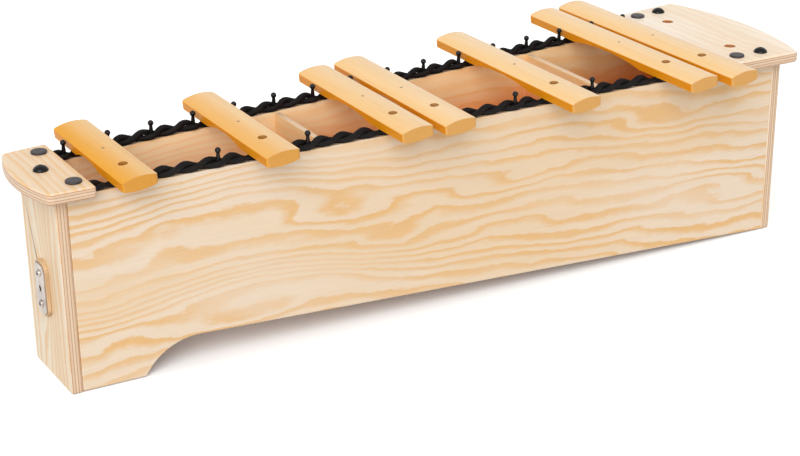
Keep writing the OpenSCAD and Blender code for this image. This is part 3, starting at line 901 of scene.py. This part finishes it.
def makeCord(node, side, pins):
    c = cordShape
    radius, stack, turns = c["strand"] / 2, c["stack"], pegRow["turns"]

    def strandPoint(u, strand):
        x = turnX(u)
        off = [(u - p) / c["spreadReach"] for p in pins]
        near = max([math.cos(math.pi / 2 * o) for o in off if abs(o) < 1], default=0)
        atPeg = c["capTurns"] < u < turns - c["capTurns"]
        widest = c["spread"] if atPeg else c["plugSpread"]
        swing = stack + (widest - stack) * near ** c["spreadPower"]
        fade = math.sin(math.pi / 2 * min(1, min(u, turns - u) / c["twistFade"]))
        lift = fade * math.sin(2 * math.pi * u)
        y = side * pinLine(x) + strand * swing * math.cos(2 * math.pi * u)
        rise = radius + stack * (c["pairRest"] + c["pairClimb"] * lift * lift - strand * lift)
        return x, y, panelTop + keptHeight(u) * rise

    def roundPlug(x, start):
        angles = [start - math.pi * i / c["stepsPerEnd"] for i in range(1, c["stepsPerEnd"])]
        level = panelTop + c["underCap"] * (radius + stack * c["pairRest"])
        reach = c["plugSpread"]
        return [(x + reach * math.cos(a), side * pinLine(x) + reach * math.sin(a), level) for a in angles]

    steps = turns * c["stepsPerTurn"]
    route = [strandPoint(i / c["stepsPerTurn"], 1) for i in range(steps + 1)]
    route += roundPlug(plugWideX, math.pi / 2)
    route += [strandPoint(i / c["stepsPerTurn"], -1) for i in range(steps, -1, -1)]
    route += roundPlug(plugNarrowX, -math.pi / 2)

    corners = 4 * c["lobes"]
    ring = []
    for i in range(corners):
        a = 2 * math.pi * i / corners
        r = radius * (1 - c["lobeDepth"] * (0.5 - 0.5 * math.cos(c["lobes"] * a)))
        ring.append((r * math.cos(a), r * math.sin(a)))
    section = addCurve("yarnSection", [ring], flat=True)
    cord = addCurve(node + "_yarn", [route])
    cord.data.twist_mode = "Z_UP"
    cord.data.bevel_mode, cord.data.bevel_object = "OBJECT", section
    lengths = [0.0]
    for a, b in zip(route, route[1:] + route[:1]):
        lengths.append(lengths[-1] + math.dist(a, b))
    layTurns = round(lengths[-1] / c["lay"])
    for point, run in zip(cord.data.splines[0].points, lengths):
        point.tilt = 2 * math.pi * layTurns * run / lengths[-1]
        point.radius = keptHeight((point.co.x - rowX) / pegPitch) ** 0.5
    cord = toMesh(cord)
    bpy.data.objects.remove(section)
    smooth(cord, 60)
    finishPiece(cord, cordBlack, "cord", "resonator", node)
    print(node, "strand length", round(lengths[-1], 3), "m")


makeCord("cord_front", -1, [0] + frontTurns + [pegRow["turns"]])
makeCord("cord_back", 1, [0] + backTurns + [pegRow["turns"]])


# pegs, plugs and cap screws, turned from profiles of (radius, height) in mm
def darkMaterial(name, dark, pale, roughness, depth, fixed):
    material, shader, place = newMaterial(name, fixed)
    x, y, z = place.split()
    fine = place.noise((x * 1500, y * 1500, z * 1500), 2.0, 0.5)
    broad = place.noise((x * 160, y * 160, z * 160), 2.0, 0.5)
    feed(shader, "Base Color", (fine * 0.5 + broad * 0.5).between(0.3, 0.7).mix(dark, pale))
    feed(shader, "Roughness", roughness + broad * 0.12)
    bump(shader, fine, depth)
    return material


shiny = {"Specular IOR Level": 0.2, "Coat Weight": 0.08, "Coat Roughness": 0.06}
pegBlack = darkMaterial("pegBlack", colour(14, 13, 14), colour(26, 24, 25), 0.24, 0.02 * mm, shiny)
plugGrey = darkMaterial("plugGrey", colour(41, 35, 39), colour(57, 49, 54), 0.42, 0.06 * mm, {})
screwBlack = darkMaterial("screwBlack", colour(8, 7, 7), colour(15, 13, 13), 0.1, 0.01 * mm, shiny)

pegProfile = [
    (1.7, -3), (1.7, 0), (2.4, 0), (2.3, 4), (2.15, 8), (1.95, 11), (1.7, 12.8), (1.68, 13.6),
    (1.9, 14.3), (2.5, 14.95), (2.86, 15.7), (3, 16.6), (2.86, 17.5), (2.5, 18.26), (1.9, 18.92),
    (1.1, 19.39), (0.4, 19.57),
]
plugProfile = [
    (7.6, 0), (7.9, 0.2), (8, 0.6), (8, 1.4), (7.9, 1.85), (7.6, 2.2), (7.1, 2.38), (5.5, 2.36),
    (2.5, 2.32), (0.6, 2.3),
]
screwProfile = [
    (7.3, 0), (7.5, 0.35), (7.35, 1.0), (6.8, 2.05), (5.9, 3.1), (4.6, 4.05), (3.2, 4.7), (2.1, 4.96),
    (1.65, 5.0), (1.45, 4.9), (1.2, 4.5), (0.5, 4.25),
]


def inMetres(profile):
    return [(r * mm, z * mm) for r, z in profile]


def standingOn(height, spots):
    return [(x, y, height) for x, y in spots]


pegs = [
    ("pegs_front", [(turnX(t), -pinLine(turnX(t))) for t in frontTurns]),
    ("pegs_back", [(turnX(t), pinLine(turnX(t))) for t in backTurns]),
]
for node, spots in pegs:
    peg = lathe(node + "_pin", inMetres(pegProfile), 24)
    row = copiesAt(peg, node + "_turned", standingOn(panelTop, spots))
    smooth(row, 50)
    finishPiece(row, pegBlack, "peg_black", "resonator", node)

for node, x in (("cord_plugs_narrow", plugNarrowX), ("cord_plugs_wide", plugWideX)):
    spots = [(x, side * pinLine(x)) for side in (-1, 1)]
    plug = lathe(node + "_disc", inMetres(plugProfile), 48)
    pair = copiesAt(plug, node + "_pressed", standingOn(capTop, spots))
    smooth(pair, 40)
    finishPiece(pair, plugGrey, "plug_grey", "resonator", node)

screwX = middle("cap_screws_wide").x
screws = [
    ("cap_screw_narrow", [(middle("cap_screw_narrow").x, 0)]),
    ("cap_screws_wide", [(screwX, side * pinLine(screwX)) for side in (-1, 1)]),
]
for node, spots in screws:
    head = lathe(node + "_head", inMetres(screwProfile), 48)
    heads = copiesAt(head, node + "_domed", standingOn(capTop, spots))
    smooth(heads, 50)
    finishPiece(heads, screwBlack, "screw_black", "resonator", node)
print("pegs, plugs and cap screws turned")


# coupling plate on its wooden pad
plateShape = {
    "padRound": 10.5 * mm,
    "clip": 5 * mm,
    "bore": 3 * mm,
    "relief": 4.5 * mm,  # of the hole in the pad behind the bore
    "screwSpan": 32 * mm,
    "headRadius": 4 * mm,
    "headHeight": 2.4 * mm,
    "slotArm": 2.6 * mm,
    "slotHalf": 0.85 * mm,
    "slotDepth": 1.5 * mm,
    "padEase": 0.7 * mm,  # rounding of the edges
    "plateEase": 0.35 * mm,
    "headEase": 0.1 * mm,
    "padDark": colour(200, 164, 122),
    "padPale": colour(224, 192, 152),
    "nickelDark": colour(166, 158, 150),
    "nickelPale": colour(196, 188, 180),
    # painted shade in the screws' slots
    "slotPaintedShade": colour(34, 30, 28),
    "slotShade": (0.25 * mm, 0.6 * mm),  # depth over which the painted shade in a slot sets in
    "plateRoughness": 0.24,
    "screwRoughness": 0.12,
}
plateLow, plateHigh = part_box("coupling_plate")
plateMiddle = (plateLow + plateHigh) / 2


def nickelMaterial(name, roughness, slots=False):
    material, shader, place = newMaterial(name, {"Metallic": 1.0})
    x, y, z = place.split()
    brushed = place.noise((x * 200, y * 2400, z * 90), 3.0, 0.6)
    cloud = place.noise((x * 90, y * 90, z * 90), 2.0, 0.5)
    metal = cloud.between(0.3, 0.7).mix(plateShape["nickelDark"], plateShape["nickelPale"])
    if slots:
        # painted shade in the slots, which lie below the dome of the head
        away = (z - plateMiddle.z).math("ABSOLUTE") - plateShape["screwSpan"] / 2
        share = (y * y + away * away) / plateShape["headRadius"] ** 2
        dome = (1 - share).math("MAXIMUM", 0.0).math("SQRT") * plateShape["headHeight"]
        below = (dome - (plateLow.x - x)).between(*plateShape["slotShade"])
        metal = below.mix(metal, plateShape["slotPaintedShade"])
    feed(shader, "Base Color", metal)
    feed(shader, "Roughness", roughness + brushed * 0.16)
    bump(shader, brushed, 0.015 * mm)
    return material


def padMaterial():
    material, shader, place = newMaterial("padBrown", {})
    x, y, z = place.split()
    grain = place.noise((x * 500, y * 900, z * 40), 4.0, 0.6)
    tone = grain.between(0.3, 0.7).mix(plateShape["padDark"], plateShape["padPale"])
    feed(shader, "Base Color", tone)
    feed(shader, "Roughness", 0.5 + grain * 0.2)
    bump(shader, grain, 0.06 * mm)
    return material


padBrown = padMaterial()
nickelPlate = nickelMaterial("nickelPlate", plateShape["plateRoughness"])
nickelScrew = nickelMaterial("nickelScrew", plateShape["screwRoughness"], slots=True)


def alongX(a, b):
    return abs(a.x - b.x) > 0.5 * mm


padLow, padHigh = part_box("coupling_pad")
pad = addBlock("coupling_pad_wood", padLow, padHigh)
bevelEdges(pad, alongX, plateShape["padRound"], 10)
carve(pad, addRod(plateShape["relief"], 0.1, (padLow + padHigh) / 2, (0, math.pi / 2, 0), 48))
soften(pad, plateShape["padEase"])
smooth(pad, flat=True)
finishPiece(pad, padBrown, "pad_brown", "resonator", "coupling_pad")

plate = addBlock("coupling_plate_nickel", plateLow, plateHigh)
bevelEdges(plate, alongX, plateShape["clip"], 1)
carve(plate, addRod(plateShape["bore"], 0.1, plateMiddle, (0, math.pi / 2, 0), 48))
soften(plate, plateShape["plateEase"], 3, 28)
smooth(plate, flat=True)
finishPiece(plate, nickelPlate, "nickel", "resonator", "coupling_plate")


def makePlateScrews():
    s = plateShape
    r, h, arm, wide = s["headRadius"], s["headHeight"], s["slotArm"], s["slotHalf"]
    rings = [(r, -0.2 * mm)]  # sunk a little into the plate
    for angle in range(8, 88, 10):
        a = math.radians(angle)
        rings.append((r * math.cos(a), h * math.sin(a)))
    head = lathe("plate_screw_head", rings, 40)
    for armX, armY in ((arm, wide), (wide, arm)):
        carve(head, addBlock("slot", (-armX, -armY, h - s["slotDepth"]), (armX, armY, h + mm)))
    soften(head, s["headEase"], 2, 40)
    head.rotation_euler = (0, -math.pi / 2, 0)
    applyPlace(head)
    spots = [(plateLow.x, 0, plateMiddle.z + side * s["screwSpan"] / 2) for side in (-1, 1)]
    pair = copiesAt(head, "coupling_screws_domed", spots)
    smooth(pair)
    finishPiece(pair, nickelScrew, "nickel", "resonator", "coupling_screws")


makePlateScrews()
print("coupling plate made")


# floor, light and camera
studio = {
    "floorGrey": 0.31,  # of the floor for the light that it gives back
    "floorWhite": 1.35,  # and as the camera sees it
    "floorSize": 16.0,
    "skyGrey": 0.63,  # of the sky for its light; the camera sees it white
    "keyPower": 1120.0,
    "keyPlace": (-6.6, -7.9, 6.4),
    "keySize": 10.0,
    "fillPower": 40.0,
    "fillPlace": (4.4, -9.4, 6.0),
    "fillSize": 5.0,
    "aim": (0, 0, 0.1),  # what the lamps point at
}


def grey(value):
    return (value, value, value, 1.0)


def seenDirectly(tree):
    # 1 for rays that show the stage itself, 0 for the light that it gives
    path = tree.nodes.new("ShaderNodeLightPath")
    seen = Wire(tree, path.outputs["Is Camera Ray"])
    for ray in ("Is Glossy Ray", "Is Transmission Ray"):
        seen = seen.math("MAXIMUM", Wire(tree, path.outputs[ray]))
    return seen


bpy.ops.object.select_all(action="DESELECT")
bpy.ops.mesh.primitive_plane_add(size=studio["floorSize"], location=(0, 0, 0))
floor = bpy.context.object
floor.name = "floor"
floorFinish = {"Roughness": 0.9, "Specular IOR Level": 0.0}
floorMaterial, floorShader, floorPlace = newMaterial("floorPale", floorFinish)
floorTone = seenDirectly(floorPlace.tree).mix(grey(studio["floorGrey"]), grey(studio["floorWhite"]))
feed(floorShader, "Base Color", floorTone)
floor.data.materials.append(floorMaterial)

world = bpy.data.worlds.new("studio")
bpy.context.scene.world = world
world.use_nodes = True
sky = world.node_tree.nodes["Background"]
feed(sky, "Color", seenDirectly(world.node_tree).mix(grey(studio["skyGrey"]), grey(1.0)))


def addLamp(name, power, place, size):
    bpy.ops.object.select_all(action="DESELECT")
    bpy.ops.object.light_add(type="AREA", location=place)
    lamp = bpy.context.object
    lamp.name = name
    lamp.data.energy, lamp.data.size = power, size
    aim = Vector(studio["aim"]) - lamp.location
    lamp.rotation_euler = aim.to_track_quat("-Z", "Y").to_euler()


for lamp in ("key", "fill"):
    addLamp(lamp + "Lamp", studio[lamp + "Power"], studio[lamp + "Place"], studio[lamp + "Size"])

cameraView = {
    "place": (-939.11 * mm, -1533.19 * mm, 841.01 * mm),
    "turn": (66.527, 0.527, -31.048),  # degrees about X, Y and Z
    "lens": 82.11,
    "sensor": 36.0,
}
bpy.ops.object.select_all(action="DESELECT")
cameraTurn = [math.radians(a) for a in cameraView["turn"]]
bpy.ops.object.camera_add(location=cameraView["place"], rotation=cameraTurn)
camera = bpy.context.object
camera.data.lens, camera.data.sensor_width = cameraView["lens"], cameraView["sensor"]
camera.data.sensor_fit = "HORIZONTAL"
camera.data.clip_end = 60
bpy.context.scene.camera = camera
bpy.context.scene.view_settings.view_transform = "Standard"
print("floor, light and camera set")
